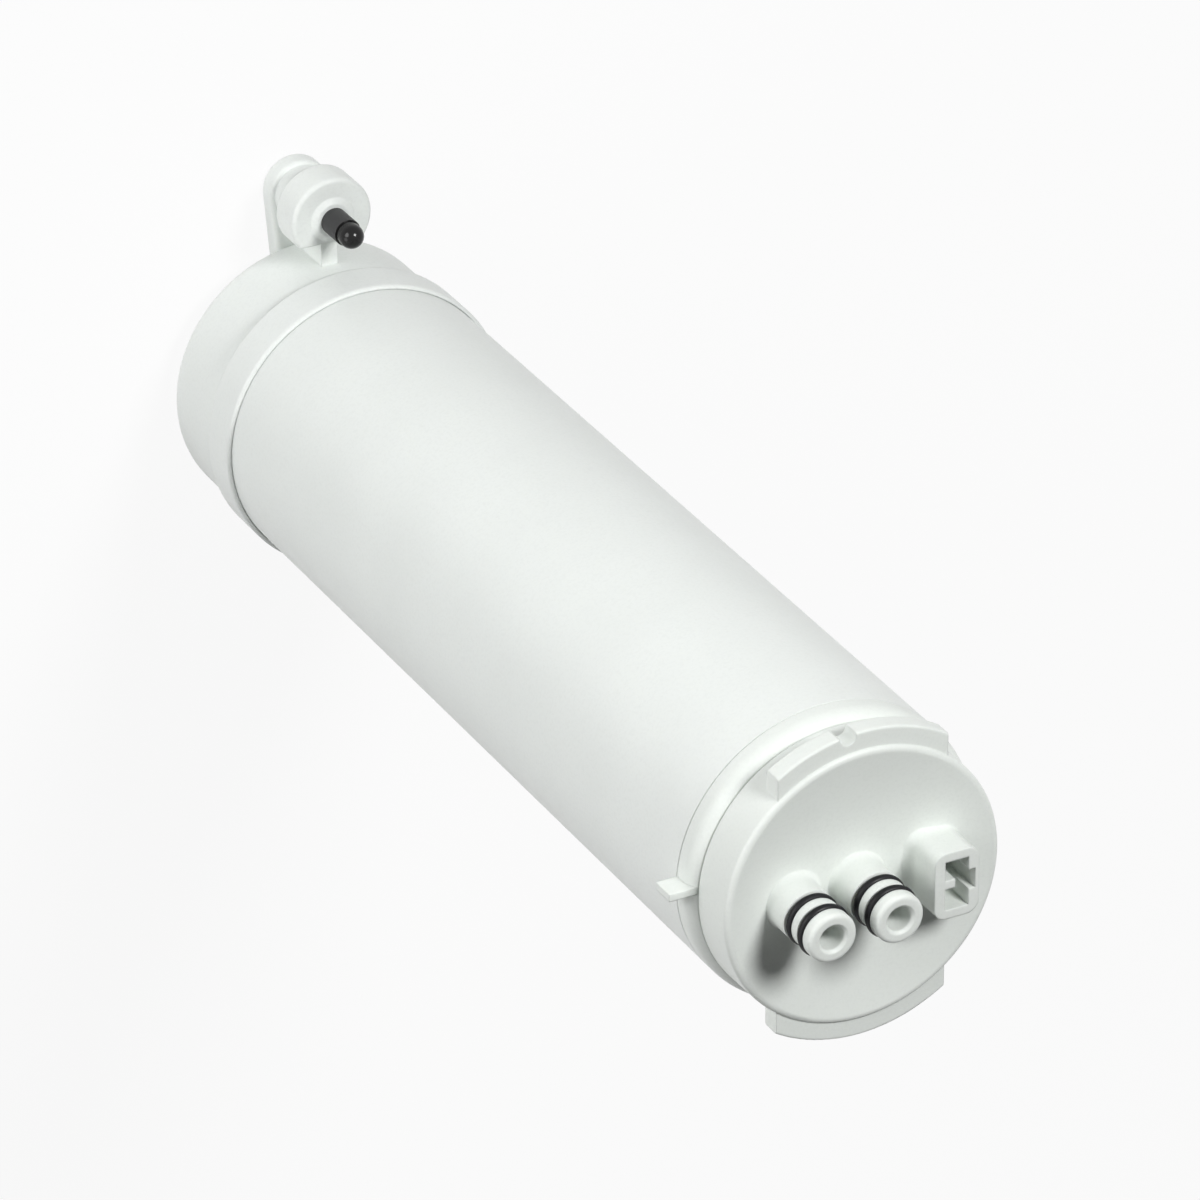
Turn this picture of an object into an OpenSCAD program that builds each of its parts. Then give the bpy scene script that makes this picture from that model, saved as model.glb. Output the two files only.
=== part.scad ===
// Sealed water filter cartridge: a body tube closed by a rear cap with a pin
// bracket and by a port head with two sealed nozzles, a coding socket and lugs.
// A carbon block element stands inside.
// Origin: centre of the flat rear face. +Z runs along the axis to the ports,
// +Y points to the bracket and the notched lug, +X to the coding socket.

/* [Body tube] */
// Outside diameter of the body tube
tube_d = 66; // [62:0.5:74]
// Wall of the body tube
tube_wall = 2.5; // [2:0.1:3]
// Length of the body tube between its two weld faces
tube_len = 214.5; // [120:0.5:300]

/* [Rear cap] */
// How far the band of the cap lies inside the tube surface
cap_inset = 0.6; // [0.2:0.1:1]
// Height of the cap from its rear face to the end of the tube
cap_h = 27; // [24:0.5:34]
// Diameter of the foot that the cartridge stands on
foot_d = 54; // [46:0.5:56]
// Height of the foot
foot_h = 4.4; // [3:0.1:6]
// Wall of the cap and thickness of its closed end
cap_wall = 3; // [2.5:0.1:3.5]
// Radius of the rounded rear edges
cap_edge_r = 2.2; // [1:0.1:2.6]
// Length of the step that leads out to the lip
cap_taper = 1.6; // [0.8:0.1:3]
// Wall of the lip that laps over the tube
lip_wall = 0.9; // [0.7:0.1:1.6]
// Length of the lip over the tube
lip_len = 9; // [5:0.5:20]
// Length of the weld spigots inside the tube
spigot_len = 8; // [5:0.5:12]
// Wall of the weld spigots
spigot_wall = 2.2; // [1.6:0.1:2.6]
// Diameter of the ring inside the cap that the element stands on
rest_ring_d = 30; // [24:0.5:40]

/* [Pin bracket] */
// Height of the pin above the cartridge axis
pin_h = 44.4; // [43:0.1:50]
// Width of the plate at its round top
plate_w = 14.8; // [13:0.1:17]
// Thickness of the plate
plate_t = 5.2; // [4:0.1:8]
// Radius of the rounded edges of the plate
plate_edge_r = 1.2; // [0.5:0.1:1.8]
// Angle by which each side of the plate draws in towards the cap
plate_draft = 4.5; // [0:0.5:8]
// Diameter of the neck between the plate and the boss
neck_d = 13; // [11:0.1:14]
// Length of the neck
neck_len = 7.4; // [3:0.1:10]
// Diameter of the pin boss
boss_d = 19.4; // [18:0.1:22]
// Length of the pin boss
boss_len = 8.2; // [6:0.1:12]
// Rounding of the front edge of the boss
boss_edge_r = 1; // [0.2:0.1:1.5]
// Distance of the flat under the boss from the pin
boss_flat = 5.4; // [5.2:0.1:7]
// Thickness of the rib that carries the boss
boss_rib_t = 4; // [2:0.1:6]
// How far the rib stops short of the boss front
boss_rib_set = 2; // [1:0.1:5]
// Diameter of the raised ring round the pin
eye_d = 10.6; // [9:0.1:11]
// Height of the raised ring round the pin
eye_h = 0.7; // [0.4:0.1:1.5]

/* [Locating pin] */
// Diameter of the pin shank
pin_d = 6.2; // [6:0.1:7]
// Diameter of the pin root in the bracket
pin_root_d = 5; // [4:0.1:5.2]
// Diameter of the domed tip
pin_tip_d = 5.6; // [4.5:0.1:6.2]
// How far the pin stands out of the boss
pin_out = 12.2; // [8:0.1:20]
// Length of the thinner domed tip
pin_tip_len = 4.6; // [3.5:0.1:6]
// Depth of the pin in the bracket
pin_in = 12; // [6:0.5:14]

/* [Port head] */
// Length of the head skirt from the weld to the shoulder
skirt_h = 6.1; // [4:0.1:10]
// Radius of the curve of the shoulder
shoulder_r = 4.5; // [2:0.1:6]
// Chamfer of the weld line
weld_chamfer = 0.3; // [0.1:0.1:0.5]
// How far the collar lies inside the tube surface
collar_inset = 1.6; // [1:0.1:2.5]
// Length of the collar from the shoulder to the rim
collar_h = 11.4; // [9:0.1:16]
// How much the collar draws in towards the rim
collar_lean = 0.2; // [0.1:0.1:0.6]
// Width of the fine groove at the foot of the collar
collar_groove = 0.4; // [0.2:0.1:0.6]
// Wall of the collar
collar_wall = 3; // [2.5:0.1:4]
// Rounding of the rim
rim_r = 1.2; // [0.5:0.1:1.6]
// Width of the flat between the rounded rim and the dished face
rim_flat = 0.2; // [0.1:0.1:1]
// Depth of the dished face at its middle
dish_depth = 2.8; // [1:0.1:4.5]
// Thickness of the face
face_t = 4; // [3:0.1:5]

/* [Lugs] */
// Height of the lugs above the collar
lug_h = 3.8; // [2:0.1:6]
// Width of the lugs across the head
lug_w = 38.6; // [24:0.2:44]
// Thickness of the lugs along the axis
lug_t = 4.5; // [3:0.1:6]
// How far the lugs lie behind the rim
lug_set = 0.75; // [0.5:0.05:2]
// Radius of the round bottom of the notch in the upper lug
notch_r = 1.9; // [1:0.1:2.2]
// Depth of the notch
notch_depth = 2.4; // [2.2:0.1:3.6]
// Distance of the notch to the left of the centre
notch_x = 3.6; // [0:0.1:10]
// Rounding of the outer edges of the lugs
lug_edge_r = 0.5; // [0.2:0.1:1]
// Height of the locating fin above the tube surface
fin_h = 4.8; // [2:0.1:7]
// Thickness of the locating fin
fin_t = 1.6; // [1:0.1:3]
// Length of the locating fin
fin_len = 5.8; // [3:0.1:6]
// Height of the locating fin above the level of the nozzles
fin_y = 1.8; // [0:0.1:4]

/* [Nozzles] */
// Distance between the outlet nozzle on the axis and the inlet nozzle
nozzle_pitch = 15.2; // [14.5:0.1:18]
// Height of the nozzle tips above the rim
nozzle_len = 14.8; // [13:0.1:20]
// Diameter of the nozzle root
root_d = 11.7; // [11:0.1:13]
// How far the curved feet of the nozzles and the socket run into the dished face
foot_sink = 1.2; // [1:0.1:1.6]
// Radius of the curved foot of the nozzles
root_fillet = 3.4; // [2.4:0.1:4]
// Diameter of the nozzle at its tip and between the seals
tip_d = 10.9; // [10:0.1:11.5]
// Thickness of the nozzle tip in front of the seals
tip_t = 2.7; // [2:0.1:3.5]
// Rounding of the nozzle tip
tip_r = 1; // [0.4:0.1:1.5]
// Bore of the nozzles
bore_d = 5.4; // [4:0.1:6]
// Chamfer of the bore at the tip
bore_chamfer = 0.6; // [0.2:0.1:1]

/* [Seals] */
// Thickness of the seal rings
ring_cs = 1.78; // [1.5:0.01:2]
// Diameter of the groove floor
groove_d = 8.1; // [7.5:0.1:8.4]
// Width of the seal grooves
groove_w = 2.35; // [2.2:0.05:2.6]
// Distance between the two seals of a nozzle
ring_pitch = 4.55; // [4:0.05:5.5]
// Clearance of a seal in its groove
ring_gap = 0.02; // [0.01:0.01:0.05]

/* [Coding socket] */
// Distance of the socket from the cartridge axis
socket_x = 16.75; // [16:0.05:18]
// Width of the socket housing
socket_w = 10.2; // [9.5:0.1:11.5]
// Height of the socket housing
socket_h = 15.2; // [13:0.1:18]
// Corner radius of the socket housing
socket_r = 2.8; // [1.5:0.1:4]
// Height of the socket housing above the rim
socket_len = 8; // [6:0.1:12]
// Radius of the curved foot of the socket housing
socket_fillet = 3.4; // [2:0.1:4]
// Width of the pocket
pocket_w = 5.4; // [4.5:0.1:6]
// Height of the pocket
pocket_h = 11.1; // [9:0.1:11.5]
// Height of the side slot
slot_h = 4.5; // [2:0.1:5]
// Depth of the side slot
slot_w = 1.5; // [0.5:0.1:1.6]
// Thickness of the coding rib
code_rib_t = 1.9; // [1:0.1:3]
// Length of the coding rib
code_rib_w = 2.3; // [1:0.1:3]
// How far the coding rib and the side slot lie above the middle
code_y = 0.3; // [-0.5:0.1:0.5]

/* [Filter element] */
// Gap for the water between the element and the wall
flow_gap = 3; // [2:0.1:5]
// Diameter of the bore through the carbon block
block_bore = 16; // [12:0.5:22]
// Thickness of the sediment wrap
wrap_t = 0.8; // [0.4:0.1:1.5]
// Thickness of the outer net
net_t = 0.5; // [0.3:0.1:0.8]
// Thickness of the end caps of the element
end_t = 3; // [2:0.1:4]
// Height of the rims of the end caps
end_rim_h = 7; // [4:0.5:10]
// Wall of the rims of the end caps
end_rim_t = 1.2; // [0.8:0.1:1.6]
// Length of the outlet nipple on the element
nipple_len = 13; // [9:0.5:15]
// Diameter of the outlet nipple
nipple_d = 12; // [11:0.1:13]
// Diameter of the bore through the outlet nipple
nipple_bore_d = 6.4; // [5:0.1:6.4]
// Distance between the element and the inner socket of the head
element_gap = 2; // [1:0.5:4]
// How far the element reaches into the rear cap
rest_depth = 4; // [2:0.5:8]
// Number of the centring fins on each end cap
centring_n = 6; // [3:1:8]
// Thickness of the centring fins
centring_t = 1.6; // [1:0.1:2.4]
// Width of the strands between the windows of the net
net_strand = 4.8; // [3:0.1:6]
// Rows of windows along the net
net_rows = 9; // [3:1:10]
// Windows round the net in each row
net_cols = 12; // [6:1:12]

/* [Fits] */
// Clearance of a weld spigot in the tube, on the radius
weld_gap = 0.05; // [0.02:0.01:0.1]
// Clearance of the lip over the tube, on the radius
lip_gap = 0.1; // [0.05:0.01:0.2]
// Distance of the shank from the raised ring, which the thinner root shows in
ring_clear = 0.1; // [0.06:0.01:0.3]
// Clearance of the pin in its hole, on the radius
pin_gap = 0.02; // [0.01:0.01:0.05]
// Clearance between the layers of the element
layer_gap = 0.05; // [0.02:0.01:0.1]
// Clearance of the nipple in its socket, on the radius
nipple_gap = 0.15; // [0.1:0.01:0.25]

/* [Hidden] */
$fn = 96;
over = 1;
eps = 0.01;

// Radii
tube_r = tube_d / 2;
tube_in = tube_r - tube_wall;
spigot_r = tube_in - weld_gap;
spigot_in = spigot_r - spigot_wall;
cap_r = tube_r - cap_inset;
lip_r = tube_r + lip_gap + lip_wall;
foot_r = foot_d / 2;
collar_r = tube_r - collar_inset;
collar_in = collar_r - collar_wall;
lug_r = collar_r + lug_h;
element_r = spigot_in - flow_gap;
shoulder_len = sqrt(shoulder_r * shoulder_r - (shoulder_r - collar_inset) * (shoulder_r - collar_inset));
rim_out = collar_r - collar_lean;
dish_rim = rim_out - rim_r - rim_flat;
dish_r = (dish_rim * dish_rim + dish_depth * dish_depth) / (2 * dish_depth);

// Heights along the axis
tube_z = cap_h;
weld_z = tube_z + tube_len;
shoulder_z = weld_z + skirt_h;
rim_z = shoulder_z + collar_h;
floor_z = rim_z - dish_depth;
inside_z = floor_z - face_t;
tip_z = rim_z + nozzle_len;
socket_z = rim_z + socket_len;
boss_z = plate_t + neck_len + boss_len;

// The element stands on the rest ring and its nipple plugs into the head
rest_z = cap_h - rest_depth;
element_top = inside_z - nipple_len - element_gap;
block_z0 = rest_z + end_t + layer_gap;
block_z1 = element_top - end_t - layer_gap;
net_r = element_r - end_rim_t - layer_gap;
wrap_r = net_r - net_t - layer_gap;
block_r = wrap_r - wrap_t - layer_gap;
nipple_wall_r = nipple_d / 2 + nipple_gap;
nipple_groove_r = nipple_wall_r - ring_cs - 2 * ring_gap;
nipple_mid_z = inside_z - nipple_len / 2;

// Colours
white = [0.90, 0.92, 0.90];
black = [0.05, 0.05, 0.05];
carbon = [0.13, 0.13, 0.14];
cloth = [0.95, 0.95, 0.93];
natural = [0.86, 0.88, 0.86];

// A ring between two radii and two heights, to be revolved
module band(r_in, r_out, z0, z1) {
    translate([r_in, z0])
    square([r_out - r_in, z1 - z0]);
}

// A concave corner fillet: full at the origin, with its arc towards +X and +Y
module corner_fillet(r) {
    difference() {
        square(r);
        translate([r, r])
        circle(r);
    }
}

// A rectangle with four round corners, about its centre
module round_rect(w, h, r) {
    square([w - 2 * r, h], center = true);
    square([w, h - 2 * r], center = true);
    for (x = [-1, 1], y = [-1, 1])
        translate([x * (w / 2 - r), y * (h / 2 - r)])
        circle(r);
}

module body_tube() {
    color(white)
    rotate_extrude()
    band(tube_in, tube_r, tube_z, weld_z);
}

// A solid disc section with one rounded edge at its rear
module rounded_disc(r, z0, z1, edge) {
    band(0, r - edge, z0, z1);
    band(0, r, z0 + edge, z1);
    translate([r - edge, z0 + edge])
    circle(edge);
}

// The outside of the cap: foot, band, taper and the lip over the tube
module cap_outside() {
    lip_end = cap_h + lip_len - lip_wall;
    rotate_extrude() {
        intersection() {
            union() {
                rounded_disc(foot_r, 0, cap_h, cap_edge_r);
                rounded_disc(cap_r, foot_h, cap_h, cap_edge_r);
            }
            square([cap_r, cap_h]);
        }
        polygon([[0, cap_h - cap_taper - over], [cap_r, cap_h - cap_taper - over],
            [cap_r, cap_h - cap_taper], [lip_r, cap_h], [0, cap_h]]);
        band(tube_r + lip_gap, lip_r, cap_h - over, lip_end);
        translate([tube_r + lip_gap, lip_end])
        intersection() {
            circle(lip_wall);
            square(lip_wall);
        }
    }
}

module cap_hollow() {
    rotate_extrude() {
        band(0, foot_r - cap_wall, cap_wall, cap_h + over);
        band(0, cap_r - cap_wall, foot_h + cap_wall, cap_h + over);
    }
}

// The weld spigot and the ring that the element stands on
module cap_inner_rings() {
    rotate_extrude() {
        band(spigot_in, spigot_r, cap_h - cap_taper, cap_h + spigot_len);
        band(rest_ring_d / 2 - spigot_wall, rest_ring_d / 2, cap_wall - over, rest_z);
    }
}

// Half the section of the plate, from its middle outwards
module plate_half(half) {
    r = plate_edge_r;
    band(0, half - r, 0, plate_t);
    band(0, half, r, plate_t - r);
    for (z = [r, plate_t - r])
        translate([half - r, z])
        circle(r);
}

// The plate with its full-round top, its sides drawn in towards the cap
module bracket_plate() {
    half = plate_w / 2;
    translate([0, pin_h, 0]) {
        rotate_extrude()
        intersection() {
            plate_half(half);
            square([half, plate_t]);
        }
        for (side = [0, 1])
            mirror([side, 0, 0])
            rotate([0, 0, -plate_draft])
            rotate([90, 0, 0])
            linear_extrude(pin_h - foot_r + cap_wall / 2)
            plate_half(half);
    }
}

// The neck and the pin boss with its raised ring, cut flat underneath, and the rib below them
module pin_boss() {
    boss_rear = boss_z - boss_len;
    difference() {
        translate([0, pin_h, 0])
        rotate_extrude() {
            band(0, neck_d / 2, plate_t - over, boss_rear + over);
            band(0, boss_d / 2, boss_rear, boss_z - boss_edge_r);
            band(0, boss_d / 2 - boss_edge_r, boss_rear, boss_z);
            translate([boss_d / 2 - boss_edge_r, boss_z - boss_edge_r])
            circle(boss_edge_r);
            polygon([[0, boss_z - over], [eye_d / 2, boss_z - over], [eye_d / 2, boss_z],
                [eye_d / 2 - 2 * eye_h, boss_z + eye_h], [0, boss_z + eye_h]]);
        }
        translate([-boss_d, pin_h - boss_flat - boss_d, boss_rear])
        cube([2 * boss_d, boss_d, boss_len + over]);
    }
    translate([-boss_rib_t / 2, cap_r - cap_wall / 2, plate_t - over])
    cube([boss_rib_t, pin_h - cap_r, boss_z - boss_rib_set - plate_t + over]);
}

module rear_cap() {
    color(white)
    difference() {
        union() {
            difference() {
                union() {
                    cap_outside();
                    bracket_plate();
                    pin_boss();
                }
                cap_hollow();
            }
            cap_inner_rings();
        }
        translate([0, pin_h, boss_z - pin_in])
        cylinder(h = pin_in + eye_h + over, d = pin_root_d + 2 * pin_gap);
    }
}

module locating_pin() {
    end_z = boss_z + pin_out;
    tip_base = end_z - pin_tip_len;
    dome_z = end_z - pin_tip_d / 2;
    shank_z = boss_z + eye_h + ring_clear;
    color(black)
    translate([0, pin_h, 0])
    rotate_extrude() {
        band(0, pin_root_d / 2, boss_z - pin_in, shank_z);
        band(0, pin_d / 2, shank_z, tip_base);
        band(0, pin_tip_d / 2, shank_z, dome_z);
        intersection() {
            translate([0, dome_z])
            circle(pin_tip_d / 2);
            square([pin_tip_d, end_z]);
        }
    }
}

// Skirt, rounded shoulder, collar, rim and dished face
module head_shell() {
    rotate_extrude() {
        difference() {
            union() {
                polygon([[0, weld_z], [tube_r - weld_chamfer, weld_z], [tube_r, weld_z + weld_chamfer],
                    [tube_r, shoulder_z - shoulder_len], [0, shoulder_z - shoulder_len]]);
                band(0, tube_r - shoulder_r, weld_z, shoulder_z);
                intersection() {
                    translate([tube_r - shoulder_r, shoulder_z - shoulder_len])
                    circle(shoulder_r);
                    translate([0, shoulder_z - shoulder_len])
                    square([tube_r, shoulder_len]);
                }
                polygon([[0, shoulder_z - over], [collar_r, shoulder_z - over],
                    [collar_r, shoulder_z + collar_groove], [rim_out, rim_z - rim_r],
                    [rim_out - rim_r, rim_z], [0, rim_z]]);
                translate([rim_out - rim_r, rim_z - rim_r])
                circle(rim_r);
            }
            band(0, collar_in, weld_z - over, inside_z);
            translate([0, floor_z + dish_r])
            circle(dish_r, $fn = 720);
            // The fine groove where the collar meets the shoulder
            band(collar_r - collar_groove, collar_r + over, shoulder_z, shoulder_z + collar_groove);
        }
        band(spigot_in, spigot_r, weld_z - spigot_len, weld_z + skirt_h / 2);
        // The inner socket that the outlet nipple of the element plugs into
        band(nipple_wall_r, nipple_wall_r + spigot_wall, inside_z - nipple_len, inside_z + over);
    }
}

// Height of the dished face at a distance from the axis
function face_at(x) = floor_z + dish_r - sqrt(dish_r * dish_r - x * x);

// One nozzle without its bore, at a distance to the left of the axis
module nozzle(x) {
    ring_z = tip_z - tip_t - groove_w / 2;
    translate([-x, 0, 0])
    rotate_extrude() {
        band(0, root_d / 2, floor_z - over, tip_z - tip_t - groove_w - ring_pitch);
        translate([root_d / 2, face_at(x) - foot_sink])
        corner_fillet(root_fillet);
        band(0, groove_d / 2, floor_z, tip_z - over);
        band(0, tip_d / 2, ring_z + groove_w / 2 - ring_pitch, ring_z - groove_w / 2);
        band(0, tip_d / 2, tip_z - tip_t, tip_z - tip_r);
        band(0, tip_d / 2 - tip_r, tip_z - tip_t, tip_z);
        translate([tip_d / 2 - tip_r, tip_z - tip_r])
        circle(tip_r);
    }
}

module nozzle_bore() {
    translate([0, 0, inside_z - over])
    cylinder(h = tip_z - inside_z + 2 * over, d = bore_d);
    translate([0, 0, tip_z - bore_chamfer])
    cylinder(h = bore_chamfer + eps, d1 = bore_d, d2 = bore_d + 2 * bore_chamfer);
}

// Two lugs with parallel ends and rounded outer edges, the upper one notched
module lugs() {
    r = lug_edge_r;
    translate([0, 0, rim_z - lug_set - lug_t])
    difference() {
        intersection() {
            rotate_extrude() {
                band(collar_in + over, lug_r - r, 0, lug_t);
                band(collar_in + over, lug_r, r, lug_t - r);
                for (z = [r, lug_t - r])
                    translate([lug_r - r, z])
                    circle(r);
            }
            cube([lug_w, 3 * lug_r, 3 * lug_t], center = true);
        }
        translate([-notch_x, lug_r - notch_depth + notch_r, -over])
        cylinder(h = lug_t + 2 * over, r = notch_r);
        translate([-notch_x - notch_r, lug_r - notch_depth + notch_r, -over])
        cube([2 * notch_r, lug_h, lug_t + 2 * over]);
    }
}

module locating_fin() {
    translate([-tube_r - fin_h, fin_y - fin_t / 2, shoulder_z - fin_len])
    cube([fin_h + tube_wall, fin_t, fin_len]);
}

// The housing of the coding socket with its curved foot
module socket_body() {
    r = socket_r;
    translate([socket_x, 0, floor_z - over])
    linear_extrude(socket_z - floor_z + over)
    round_rect(socket_w, socket_h, r);
    translate([socket_x, 0, face_at(socket_x) - foot_sink]) {
        for (a = [0, 180])
            rotate([0, 0, a]) {
                translate([socket_w / 2, socket_h / 2 - r, 0])
                rotate([90, 0, 0])
                linear_extrude(socket_h - 2 * r)
                corner_fillet(socket_fillet);
                translate([-socket_w / 2 + r, socket_h / 2, 0])
                rotate([90, 0, 90])
                linear_extrude(socket_w - 2 * r)
                corner_fillet(socket_fillet);
            }
        for (x = [-1, 1], y = [-1, 1])
            translate([x * (socket_w / 2 - r), y * (socket_h / 2 - r), 0])
            rotate_extrude()
            translate([r, 0])
            corner_fillet(socket_fillet);
    }
}

module socket_pocket() {
    translate([socket_x, 0, floor_z + over])
    linear_extrude(socket_z - floor_z)
    difference() {
        union() {
            square([pocket_w, pocket_h], center = true);
            translate([0, code_y - slot_h / 2])
            square([pocket_w / 2 + slot_w, slot_h]);
        }
        translate([-pocket_w / 2 - over, code_y - code_rib_t / 2])
        square([code_rib_w + over, code_rib_t]);
    }
}

module port_head() {
    color(white)
    difference() {
        union() {
            head_shell();
            lugs();
            locating_fin();
            nozzle(0);
            nozzle(nozzle_pitch);
            socket_body();
        }
        for (x = [0, -nozzle_pitch])
            translate([x, 0, 0])
            nozzle_bore();
        socket_pocket();
    }
}

// One seal ring of a nozzle: place counts from the tip, 0 in front and 1 behind
module seal(x, place) {
    mid_r = groove_d / 2 + ring_gap + ring_cs / 2;
    color(black)
    translate([x, 0, tip_z - tip_t - groove_w / 2 - place * ring_pitch])
    rotate_extrude()
    translate([mid_r, 0])
    circle(d = ring_cs, $fn = 48);
}

module carbon_block() {
    color(carbon)
    rotate_extrude()
    band(block_bore / 2, block_r, block_z0, block_z1);
}

module sediment_wrap() {
    color(cloth)
    rotate_extrude()
    band(block_r + layer_gap, wrap_r, block_z0, block_z1);
}

module outer_net() {
    pitch = (block_z1 - block_z0 - 2 * end_rim_h) / net_rows;
    window_w = 2 * PI * net_r / net_cols - net_strand;
    window_h = pitch - net_strand;
    color(natural)
    difference() {
        rotate_extrude()
        band(wrap_r + layer_gap, net_r, block_z0, block_z1);
        for (row = [0 : net_rows - 1], col = [0 : net_cols - 1])
            rotate([0, 0, (col + row / 2) * 360 / net_cols])
            translate([wrap_r / 2, -window_w / 2, block_z0 + end_rim_h + row * pitch + net_strand / 2])
            cube([net_r, window_w, window_h]);
    }
}

// An end cap of the element, opening towards +Z from its plate at the origin
module end_cup() {
    rotate_extrude() {
        band(0, element_r, 0, end_t);
        band(net_r + layer_gap, element_r, 0, end_t + end_rim_h);
        band(block_bore / 2 - layer_gap - end_rim_t, block_bore / 2 - layer_gap, 0, end_t + end_rim_h / 2);
    }
}

module centring_fins() {
    for (i = [0 : centring_n - 1])
        rotate([0, 0, (i + 0.5) * 360 / centring_n])
        translate([element_r - end_rim_t / 2, -centring_t / 2, 0])
        cube([spigot_in - layer_gap - element_r + end_rim_t / 2, centring_t, end_t]);
}

module element_rear_cap() {
    color(natural)
    translate([0, 0, rest_z]) {
        end_cup();
        centring_fins();
    }
}

module element_front_cap() {
    color(natural)
    difference() {
        union() {
            translate([0, 0, element_top])
            mirror([0, 0, 1]) {
                end_cup();
                centring_fins();
            }
            rotate_extrude()
            difference() {
                band(0, nipple_d / 2, element_top - over, inside_z - element_gap / 2);
                for (side = [-1, 1])
                    translate([0, nipple_mid_z + side * ring_pitch / 2])
                    band(nipple_groove_r, nipple_d, -groove_w / 2, groove_w / 2);
            }
        }
        translate([0, 0, element_top - end_t - end_rim_h])
        cylinder(h = 2 * end_rim_h + nipple_len + 2 * end_t, d = nipple_bore_d);
    }
}

// A seal ring of the outlet nipple, held between its groove and the socket
module nipple_seal(side) {
    color(black)
    translate([0, 0, nipple_mid_z + side * ring_pitch / 2])
    rotate_extrude()
    translate([nipple_groove_r + ring_gap + ring_cs / 2, 0])
    circle(d = ring_cs, $fn = 48);
}

body_tube();
rear_cap();
port_head();
locating_pin();
seal(-nozzle_pitch, 1);  // inlet_seal_rear
seal(-nozzle_pitch, 0);  // inlet_seal_front
seal(0, 1);  // outlet_seal_rear
seal(0, 0);  // outlet_seal_front
carbon_block();
sediment_wrap();
outer_net();
element_rear_cap();
element_front_cap();
nipple_seal(-1);  // nipple_seal_inner
nipple_seal(1);  // nipple_seal_outer
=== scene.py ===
import bpy
from bpy.props import FloatProperty, FloatVectorProperty, PointerProperty
from mathutils import Matrix, Vector


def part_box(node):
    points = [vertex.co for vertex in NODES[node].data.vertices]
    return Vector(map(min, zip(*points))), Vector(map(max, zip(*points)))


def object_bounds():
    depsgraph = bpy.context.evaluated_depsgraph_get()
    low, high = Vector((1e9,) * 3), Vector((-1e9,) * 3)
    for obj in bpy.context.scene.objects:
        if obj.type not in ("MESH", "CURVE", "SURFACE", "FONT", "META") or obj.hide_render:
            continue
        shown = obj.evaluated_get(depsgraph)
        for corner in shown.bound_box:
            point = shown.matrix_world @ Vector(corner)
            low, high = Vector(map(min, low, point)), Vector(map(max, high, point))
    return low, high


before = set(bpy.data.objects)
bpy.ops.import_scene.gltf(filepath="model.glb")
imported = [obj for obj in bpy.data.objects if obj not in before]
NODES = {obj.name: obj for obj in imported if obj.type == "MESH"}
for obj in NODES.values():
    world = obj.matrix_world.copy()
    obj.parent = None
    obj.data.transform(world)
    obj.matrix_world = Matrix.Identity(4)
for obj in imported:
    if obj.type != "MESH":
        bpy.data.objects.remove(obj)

bl_info = {
    "name": "Water filter cartridge",
    "version": (1, 0, 0),
    "blender": (4, 5, 0),
    "location": "View3D > Sidebar > Cartridge",
    "description": "Gives the cartridge its moulded plastic, rubber and filter finishes and sets its studio",
    "category": "Object",
}

CAD_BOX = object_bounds()
NOZZLE_SEALS = ("inlet_seal_rear", "inlet_seal_front", "outlet_seal_rear", "outlet_seal_front")
NIPPLE_SEALS = ("nipple_seal_inner", "nipple_seal_outer")
ELEMENT_CAPS = ("element_rear_cap", "element_front_cap")


# The camera looks down on the upright cartridge as the photograph does: right, up and back.
CAMERA_PLACE = Vector((-0.66635, 0.80671, 1.42072))
CAMERA_AXES = (
    (0.88482, -0.00510, 0.46591),
    (0.22972, 0.87474, -0.42668),
    (-0.40537, 0.48457, 0.77516),
)
# Name, direction from the cartridge, distance, diameter and the setting of its power.
SOFTBOXES = (
    ("key softbox", (0.21, 0.58, 0.79), 1.3, 0.4, "key_power"),
    ("side softbox", (-0.86, 0.50, 0.14), 1.4, 0.9, "side_power"),
    ("fill softbox", (-0.97, -0.17, 0.17), 1.4, 0.8, "fill_power"),
)


def colour_property(name, description, default):
    return FloatVectorProperty(name=name, description=description, subtype="COLOR",
                               size=3, min=0, max=1, default=default)


def length_property(name, description, default):
    return FloatProperty(name=name, description=description, subtype="DISTANCE",
                         unit="LENGTH", min=0, precision=5, default=default)


def share_property(name, description, default):
    return FloatProperty(name=name, description=description, subtype="FACTOR",
                         min=0, max=1, default=default)


class WhitePlasticSettings(bpy.types.PropertyGroup):
    tube_colour: colour_property("Tube colour", "Colour of the body tube", (0.815, 0.845, 0.820))
    cap_colour: colour_property("Cap colour", "Colour of the rear cap", (0.815, 0.845, 0.820))
    head_colour: colour_property("Head colour", "Colour of the port head", (0.800, 0.835, 0.800))
    roughness: share_property("Roughness", "Roughness of the moulded surface", 0.42)
    grain_size: length_property("Grain size", "Size of the fine grain from the mould", 0.0007)
    grain_depth: length_property("Grain depth", "Depth of the fine grain", 0.00002)
    wave_size: length_property("Wave size", "Distance between slow waves in the walls", 0.035)
    wave_depth: length_property("Wave depth", "Depth of the slow waves", 0.00005)
    edge_radius: length_property("Edge radius", "Rounding that light sees on sharp edges", 0.0005)
    glow_depth: length_property("Glow depth", "How far light spreads inside the plastic", 0.0015)


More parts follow.
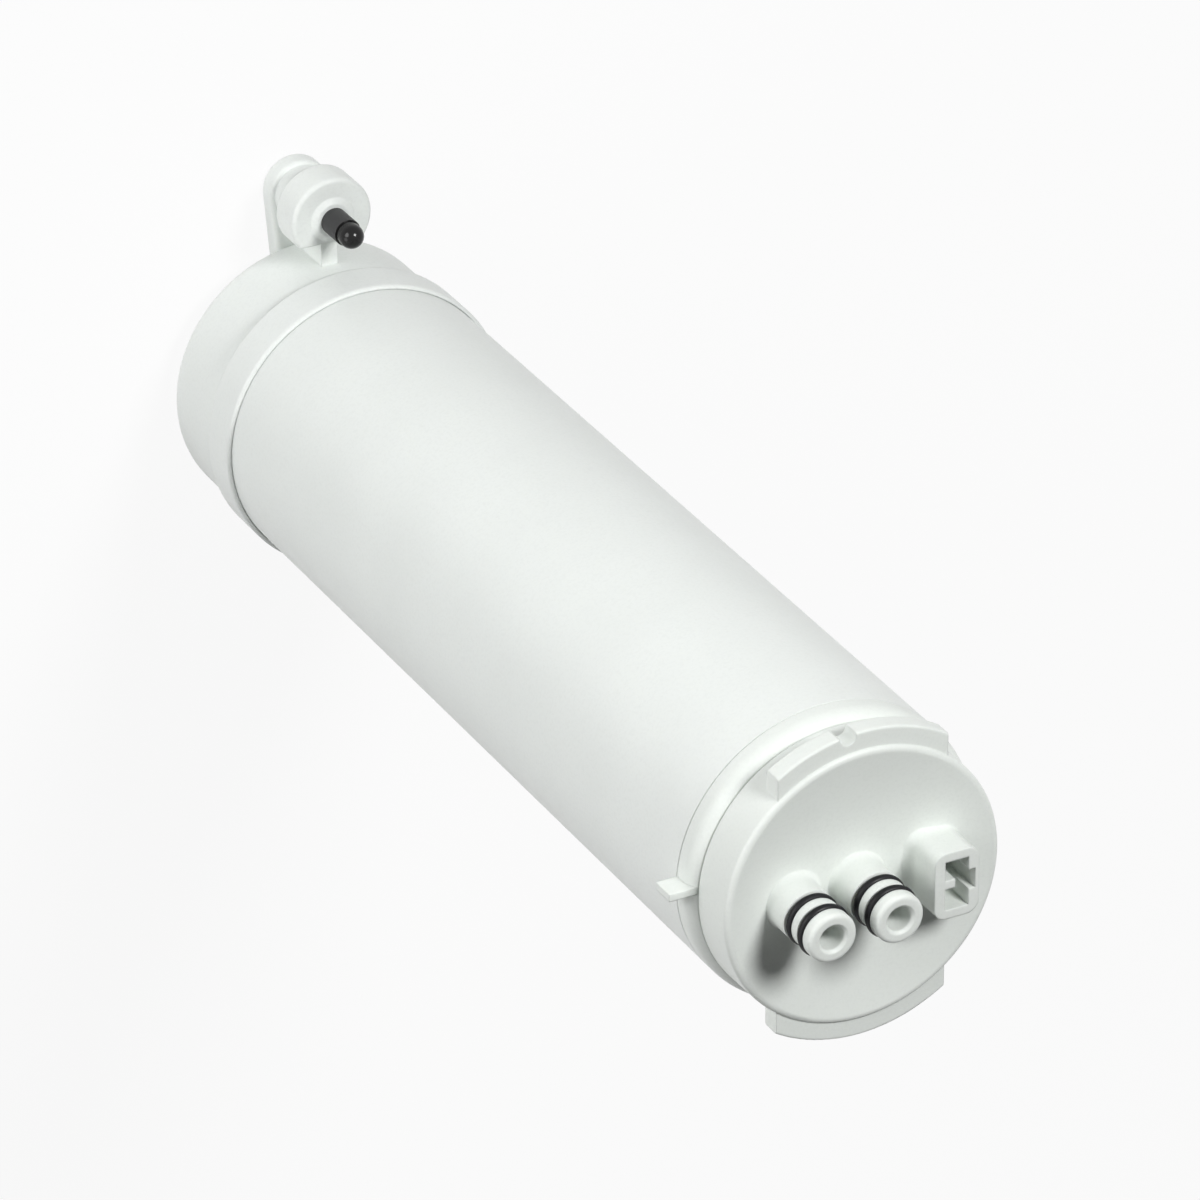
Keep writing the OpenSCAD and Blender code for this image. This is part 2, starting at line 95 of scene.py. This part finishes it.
class BlackPartSettings(bpy.types.PropertyGroup):
    seal_colour: colour_property("Seal colour", "Colour of the seal rings", (0.005, 0.005, 0.006))
    seal_roughness: share_property("Seal roughness", "Roughness of the seal rings", 0.46)
    shank_colour: colour_property("Shank colour", "Colour of the pin shank", (0.035, 0.035, 0.036))
    tip_colour: colour_property("Tip colour", "Colour of the domed pin tip", (0.004, 0.004, 0.004))
    shank_roughness: share_property("Shank roughness", "Roughness of the pin shank", 0.5)
    tip_roughness: share_property("Tip roughness", "Roughness of the domed pin tip", 0.16)
    tip_length: length_property("Tip length", "Length of the glossy tip of the pin", 0.0048)


class ElementSettings(bpy.types.PropertyGroup):
    carbon_colour: colour_property("Carbon colour", "Colour of the carbon block", (0.016, 0.016, 0.018))
    grit_size: length_property("Grit size", "Size of the carbon grains", 0.0006)
    wrap_colour: colour_property("Wrap colour", "Colour of the fibre layer", (0.78, 0.78, 0.74))
    fibre_size: length_property("Fibre size", "Spacing of the bonded fibres", 0.0004)
    net_colour: colour_property("Net colour", "Colour of the outer net", (0.66, 0.70, 0.67))
    end_colour: colour_property("End cap colour", "Colour of the element end caps", (0.72, 0.74, 0.70))


class StageSettings(bpy.types.PropertyGroup):
    floor_size: length_property("Floor size", "Side of the square floor", 8.0)
    floor_colour: colour_property("Floor colour", "Colour of the pale floor", (0.8, 0.8, 0.8))
    shadow_share: share_property("Shadow share", "How much of the shadow the camera sees", 0.08)
    world_strength: FloatProperty(name="World strength", description="Light from all round",
                                  min=0, default=0.02)
    key_power: FloatProperty(name="Key power", description="Power of the key softbox",
                             min=0, unit="POWER", default=13.3)
    side_power: FloatProperty(name="Side power", description="Power of the side softbox",
                              min=0, unit="POWER", default=10)
    fill_power: FloatProperty(name="Fill power", description="Power of the fill softbox",
                              min=0, unit="POWER", default=3)
    lens: FloatProperty(name="Lens", description="Focal length of the camera", min=1,
                        subtype="DISTANCE_CAMERA", unit="CAMERA", default=235.6)


SETTINGS = {
    "cartridge_white": WhitePlasticSettings,
    "cartridge_black": BlackPartSettings,
    "cartridge_element": ElementSettings,
    "cartridge_stage": StageSettings,
}


class Finish:
    """One material under construction: its node tree and its main shader."""

    def __init__(self, name, colour, roughness):
        self.material = bpy.data.materials.new(name)
        self.material.use_nodes = True
        self.tree = self.material.node_tree
        self.shader = self.tree.nodes["Principled BSDF"]
        self.set(self.shader, "Base Color", (*colour, 1))
        self.set(self.shader, "Roughness", roughness)
        self.position = self.node("ShaderNodeTexCoord").outputs["Object"]

    def node(self, kind, **values):
        made = self.tree.nodes.new(kind)
        for name, value in values.items():
            setattr(made, name, value)
        return made

    def set(self, node, socket, value):
        if isinstance(value, bpy.types.NodeSocket):
            self.tree.links.new(value, node.inputs[socket])
        else:
            node.inputs[socket].default_value = value

    def noise(self, size, detail=3, roughness=0.5, stretch=(1, 1, 1)):
        """Noise whose features have that size in metres."""
        mapping = self.node("ShaderNodeMapping")
        self.set(mapping, "Vector", self.position)
        self.set(mapping, "Scale", stretch)
        texture = self.node("ShaderNodeTexNoise")
        self.set(texture, "Vector", mapping.outputs["Vector"])
        self.set(texture, "Scale", 1 / size)
        self.set(texture, "Detail", detail)
        self.set(texture, "Roughness", roughness)
        return texture.outputs["Fac"]

    def range(self, value, low, high, start=0, end=1):
        """The value carried from start..end to low..high."""
        node = self.node("ShaderNodeMapRange")
        self.set(node, "Value", value)
        for socket, number in zip(("From Min", "From Max", "To Min", "To Max"), (start, end, low, high)):
            self.set(node, socket, number)
        return node.outputs["Result"]

    def mix(self, share, first, second):
        """A colour between two colours."""
        node = self.node("ShaderNodeMix", data_type="RGBA")
        self.tree.links.new(share, node.inputs[0])
        for index, colour in ((6, first), (7, second)):
            if isinstance(colour, bpy.types.NodeSocket):
                self.tree.links.new(colour, node.inputs[index])
            else:
                node.inputs[index].default_value = (*colour, 1)
        return node.outputs[2]

    def soft_edges(self, radius):
        """Normals that round the sharp edges."""
        node = self.node("ShaderNodeBevel", samples=6)
        self.set(node, "Radius", radius)
        return node.outputs["Normal"]

    def bump(self, height, depth, normal=None):
        """Normals with a relief of that depth in metres."""
        node = self.node("ShaderNodeBump")
        self.set(node, "Height", height)
        self.set(node, "Distance", depth)
        if normal is not None:
            self.set(node, "Normal", normal)
        return node.outputs["Normal"]

    def give(self, *names):
        """Puts the material on these CAD nodes."""
        for name in names:
            mesh = NODES[name].data
            mesh.materials.clear()
            mesh.materials.append(self.material)


def shade(colour, factor):
    return tuple(min(1, channel * factor) for channel in colour)


def white_plastic(name, colour, settings, grain_share=1):
    """Satin moulded plastic with fine grain, slow waves and soft edges."""
    finish = Finish(name, colour, settings.roughness)
    shader = finish.shader
    patches = finish.noise(0.03, detail=2)
    speckle = finish.noise(settings.grain_size, detail=2)
    cloudy = finish.mix(finish.range(patches, 0, 1, 0.35, 0.65),
                        shade(colour, 0.985), shade(colour, 1.01))
    finish.set(shader, "Base Color",
               finish.mix(finish.range(speckle, 0, 0.5, 0.45, 0.75), cloudy, shade(colour, 0.93)))
    finish.set(shader, "Roughness",
               finish.range(finish.noise(0.004), settings.roughness - 0.05,
                            settings.roughness + 0.05, 0.3, 0.7))
    finish.set(shader, "Specular IOR Level", 0.3)
    finish.set(shader, "Subsurface Weight", 0.15)
    finish.set(shader, "Subsurface Radius", (1.0, 1.0, 0.9))
    finish.set(shader, "Subsurface Scale", settings.glow_depth)
    edges = finish.soft_edges(settings.edge_radius)
    waves = finish.bump(finish.noise(settings.wave_size, detail=1), settings.wave_depth, edges)
    grain = finish.bump(finish.noise(settings.grain_size, detail=3, roughness=0.6),
                        settings.grain_depth * grain_share, waves)
    finish.set(shader, "Normal", grain)
    return finish


class CARTRIDGE_OT_body_tube(bpy.types.Operator):
    """Give the body tube its satin white plastic"""
    bl_idname = "cartridge.body_tube"
    bl_label = "Body tube"

    def execute(self, context):
        settings = context.scene.cartridge_white
        white_plastic("tube plastic", settings.tube_colour, settings, 0.6).give("body_tube")
        return {"FINISHED"}


class CARTRIDGE_OT_rear_cap(bpy.types.Operator):
    """Give the rear cap and its bracket their white plastic"""
    bl_idname = "cartridge.rear_cap"
    bl_label = "Rear cap"

    def execute(self, context):
        settings = context.scene.cartridge_white
        white_plastic("cap plastic", settings.cap_colour, settings, 0.8).give("rear_cap")
        return {"FINISHED"}


class CARTRIDGE_OT_port_head(bpy.types.Operator):
    """Give the port head its grained white plastic"""
    bl_idname = "cartridge.port_head"
    bl_label = "Port head"

    def execute(self, context):
        settings = context.scene.cartridge_white
        white_plastic("head plastic", settings.head_colour, settings).give("port_head")
        return {"FINISHED"}


class CARTRIDGE_OT_locating_pin(bpy.types.Operator):
    """Give the pin its dull shank and its glossy tip"""
    bl_idname = "cartridge.locating_pin"
    bl_label = "Locating pin"

    def execute(self, context):
        settings = context.scene.cartridge_black
        finish = Finish("pin plastic", settings.shank_colour, settings.shank_roughness)
        split = finish.node("ShaderNodeSeparateXYZ")
        finish.set(split, 0, finish.position)
        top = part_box("locating_pin")[1][2]
        tip = finish.range(split.outputs["Z"], 0, 1,
                           top - settings.tip_length, top - settings.tip_length + 0.0003)
        finish.set(finish.shader, "Base Color", finish.mix(tip, settings.shank_colour, settings.tip_colour))
        finish.set(finish.shader, "Roughness",
                   finish.range(tip, settings.shank_roughness, settings.tip_roughness))
        finish.set(finish.shader, "Specular IOR Level", 0.3)
        turning = finish.noise(0.0004, detail=2, stretch=(0.2, 0.2, 1))
        finish.set(finish.shader, "Normal", finish.bump(turning, 0.00001))
        finish.give("locating_pin")
        return {"FINISHED"}


class CARTRIDGE_OT_seal_rings(bpy.types.Operator):
    """Give the seal rings their black rubber"""
    bl_idname = "cartridge.seal_rings"
    bl_label = "Seal rings"

    def execute(self, context):
        settings = context.scene.cartridge_black
        finish = Finish("seal rubber", settings.seal_colour, settings.seal_roughness)
        finish.set(finish.shader, "Specular IOR Level", 0.22)
        smear = finish.range(finish.noise(0.002, detail=2), 0, 1, 0.4, 0.65)
        finish.set(finish.shader, "Base Color",
                   finish.mix(smear, settings.seal_colour, shade(settings.seal_colour, 1.8)))
        finish.set(finish.shader, "Roughness",
                   finish.range(smear, settings.seal_roughness - 0.08, settings.seal_roughness + 0.12))
        finish.set(finish.shader, "Normal", finish.bump(finish.noise(0.00025, detail=3), 0.000012))
        finish.give(*NOZZLE_SEALS, *NIPPLE_SEALS)
        return {"FINISHED"}


class CARTRIDGE_OT_filter_element(bpy.types.Operator):
    """Give the parts of the element their carbon, fibre and net finishes"""
    bl_idname = "cartridge.filter_element"
    bl_label = "Filter element"

    def execute(self, context):
        settings = context.scene.cartridge_element
        self.carbon(settings)
        self.fibres(settings)
        self.natural_plastic("net plastic", settings.net_colour, ("outer_net",))
        self.natural_plastic("end cap plastic", settings.end_colour, ELEMENT_CAPS)
        return {"FINISHED"}

    def carbon(self, settings):
        finish = Finish("pressed carbon", settings.carbon_colour, 0.85)
        grains = finish.node("ShaderNodeTexVoronoi", feature="F1")
        finish.set(grains, "Vector", finish.position)
        finish.set(grains, "Scale", 1 / settings.grit_size)
        pores = finish.noise(settings.grit_size * 3, detail=5, roughness=0.65)
        tint = finish.mix(grains.outputs["Distance"],
                          shade(settings.carbon_colour, 1.8), settings.carbon_colour)
        finish.set(finish.shader, "Base Color", finish.mix(pores, tint, shade(settings.carbon_colour, 0.5)))
        finish.set(finish.shader, "Roughness", finish.range(pores, 0.65, 0.95))
        rough = finish.bump(grains.outputs["Distance"], settings.grit_size * 0.3)
        finish.set(finish.shader, "Normal", finish.bump(pores, settings.grit_size * 0.5, rough))
        finish.give("carbon_block")

    def fibres(self, settings):
        finish = Finish("bonded fibres", settings.wrap_colour, 0.9)
        lengthwise = finish.noise(settings.fibre_size, detail=4, roughness=0.7, stretch=(1, 1, 0.15))
        crosswise = finish.noise(settings.fibre_size, detail=4, roughness=0.7, stretch=(0.3, 0.3, 1))
        finish.set(finish.shader, "Base Color",
                   finish.mix(lengthwise, shade(settings.wrap_colour, 0.85), settings.wrap_colour))
        finish.set(finish.shader, "Roughness", finish.range(crosswise, 0.8, 1))
        first = finish.bump(lengthwise, settings.fibre_size * 0.4)
        finish.set(finish.shader, "Normal", finish.bump(crosswise, settings.fibre_size * 0.4, first))
        finish.set(finish.shader, "Sheen Weight", 0.2)
        finish.give("sediment_wrap")

    def natural_plastic(self, name, colour, nodes):
        finish = Finish(name, colour, 0.35)
        flow = finish.noise(0.012, detail=3, stretch=(1, 1, 0.4))
        finish.set(finish.shader, "Base Color", finish.mix(flow, shade(colour, 0.92), shade(colour, 1.04)))
        finish.set(finish.shader, "Roughness", finish.range(flow, 0.28, 0.42))
        finish.set(finish.shader, "Subsurface Weight", 0.3)
        finish.set(finish.shader, "Subsurface Radius", (1.0, 1.0, 0.9))
        finish.set(finish.shader, "Subsurface Scale", 0.002)
        edges = finish.soft_edges(0.0002)
        finish.set(finish.shader, "Normal", finish.bump(finish.noise(0.0008), 0.00002, edges))
        finish.give(*nodes)


class CARTRIDGE_OT_stage(bpy.types.Operator):
    """Make the pale floor, the softboxes and the camera"""
    bl_idname = "cartridge.stage"
    bl_label = "Stage"

    def execute(self, context):
        settings = context.scene.cartridge_stage
        self.floor(settings)
        self.world(context.scene, settings)
        middle = (Vector(CAD_BOX[0]) + Vector(CAD_BOX[1])) / 2
        for name, direction, distance, size, power in SOFTBOXES:
            self.softbox(name, middle, direction, distance, size, getattr(settings, power))
        self.camera(context.scene, settings)
        context.scene.view_settings.view_transform = "Standard"
        return {"FINISHED"}

    def white_to_camera(self, tree, hidden):
        """1 for rays that see the background itself or in a reflection."""
        path = tree.nodes.new("ShaderNodeLightPath")
        total = path.outputs["Is Camera Ray"]
        for name in ("Is Glossy Ray", "Is Transmission Ray"):
            add = tree.nodes.new("ShaderNodeMath")
            add.operation = "ADD"
            add.use_clamp = True
            tree.links.new(total, add.inputs[0])
            tree.links.new(path.outputs[name], add.inputs[1])
            total = add.outputs[0]
        scale = tree.nodes.new("ShaderNodeMath")
        scale.operation = "MULTIPLY"
        scale.inputs[1].default_value = hidden
        tree.links.new(total, scale.inputs[0])
        return scale.outputs[0]

    def floor(self, settings):
        bpy.ops.object.select_all(action="DESELECT")
        bpy.ops.mesh.primitive_plane_add(size=settings.floor_size, location=(0, 0, 0))
        floor = bpy.context.object
        floor.name = "floor"
        material = bpy.data.materials.new("pale floor")
        material.use_nodes = True
        tree = material.node_tree
        shader = tree.nodes["Principled BSDF"]
        shader.inputs["Base Color"].default_value = (*settings.floor_colour, 1)
        shader.inputs["Roughness"].default_value = 0.9
        shader.inputs["Specular IOR Level"].default_value = 0.1
        white = tree.nodes.new("ShaderNodeEmission")
        white.inputs["Color"].default_value = (1, 1, 1, 1)
        mix = tree.nodes.new("ShaderNodeMixShader")
        tree.links.new(self.white_to_camera(tree, 1 - settings.shadow_share), mix.inputs[0])
        tree.links.new(shader.outputs[0], mix.inputs[1])
        tree.links.new(white.outputs[0], mix.inputs[2])
        tree.links.new(mix.outputs[0], tree.nodes["Material Output"].inputs["Surface"])
        material.cycles.emission_sampling = "NONE"
        floor.data.materials.append(material)

    def world(self, scene, settings):
        world = bpy.data.worlds.new("studio")
        scene.world = world
        world.use_nodes = True
        tree = world.node_tree
        light = tree.nodes["Background"]
        light.inputs["Color"].default_value = (1, 1, 1, 1)
        light.inputs["Strength"].default_value = settings.world_strength
        white = tree.nodes.new("ShaderNodeBackground")
        white.inputs["Color"].default_value = (1, 1, 1, 1)
        mix = tree.nodes.new("ShaderNodeMixShader")
        tree.links.new(self.white_to_camera(tree, 1), mix.inputs[0])
        tree.links.new(light.outputs[0], mix.inputs[1])
        tree.links.new(white.outputs[0], mix.inputs[2])
        tree.links.new(mix.outputs[0], tree.nodes["World Output"].inputs["Surface"])
        world.cycles.sampling_method = "NONE"

    def softbox(self, name, target, direction, distance, size, power):
        data = bpy.data.lights.new(name, "AREA")
        data.shape = "DISK"
        data.size = size
        data.energy = power
        lamp = bpy.data.objects.new(name, data)
        way = Vector(direction).normalized()
        lamp.location = target + way * distance
        lamp.rotation_euler = way.to_track_quat("Z", "Y").to_euler()
        bpy.context.scene.collection.objects.link(lamp)

    def camera(self, scene, settings):
        data = bpy.data.cameras.new("camera")
        data.lens = settings.lens
        data.sensor_width = 36
        data.clip_start = 0.1
        data.clip_end = 50
        camera = bpy.data.objects.new("camera", data)
        right, up, back = CAMERA_AXES
        turn = Matrix((right, up, back)).transposed().to_4x4()
        camera.matrix_world = Matrix.Translation(CAMERA_PLACE) @ turn
        scene.collection.objects.link(camera)
        scene.camera = camera


OPERATORS = (
    CARTRIDGE_OT_body_tube,
    CARTRIDGE_OT_rear_cap,
    CARTRIDGE_OT_port_head,
    CARTRIDGE_OT_locating_pin,
    CARTRIDGE_OT_seal_rings,
    CARTRIDGE_OT_filter_element,
    CARTRIDGE_OT_stage,
)


class CARTRIDGE_PT_panel(bpy.types.Panel):
    """Lists the finishes, the stage and their settings"""
    bl_idname = "CARTRIDGE_PT_panel"
    bl_label = "Cartridge"
    bl_space_type = "VIEW_3D"
    bl_region_type = "UI"
    bl_category = "Cartridge"

    def draw(self, context):
        for operator in OPERATORS:
            self.layout.operator(operator.bl_idname)
        for name, settings in SETTINGS.items():
            box = self.layout.box()
            for value in settings.__annotations__:
                box.prop(getattr(context.scene, name), value)


CLASSES = (*SETTINGS.values(), *OPERATORS, CARTRIDGE_PT_panel)


def register():
    for cls in CLASSES:
        bpy.utils.register_class(cls)
    for name, settings in SETTINGS.items():
        setattr(bpy.types.Scene, name, PointerProperty(type=settings))


def unregister():
    for name in SETTINGS:
        delattr(bpy.types.Scene, name)
    for cls in reversed(CLASSES):
        bpy.utils.unregister_class(cls)


def main():
    register()
    for operator in OPERATORS:
        group, action = operator.bl_idname.split(".")
        getattr(getattr(bpy.ops, group), action)()


if __name__ == "__main__":
    main()
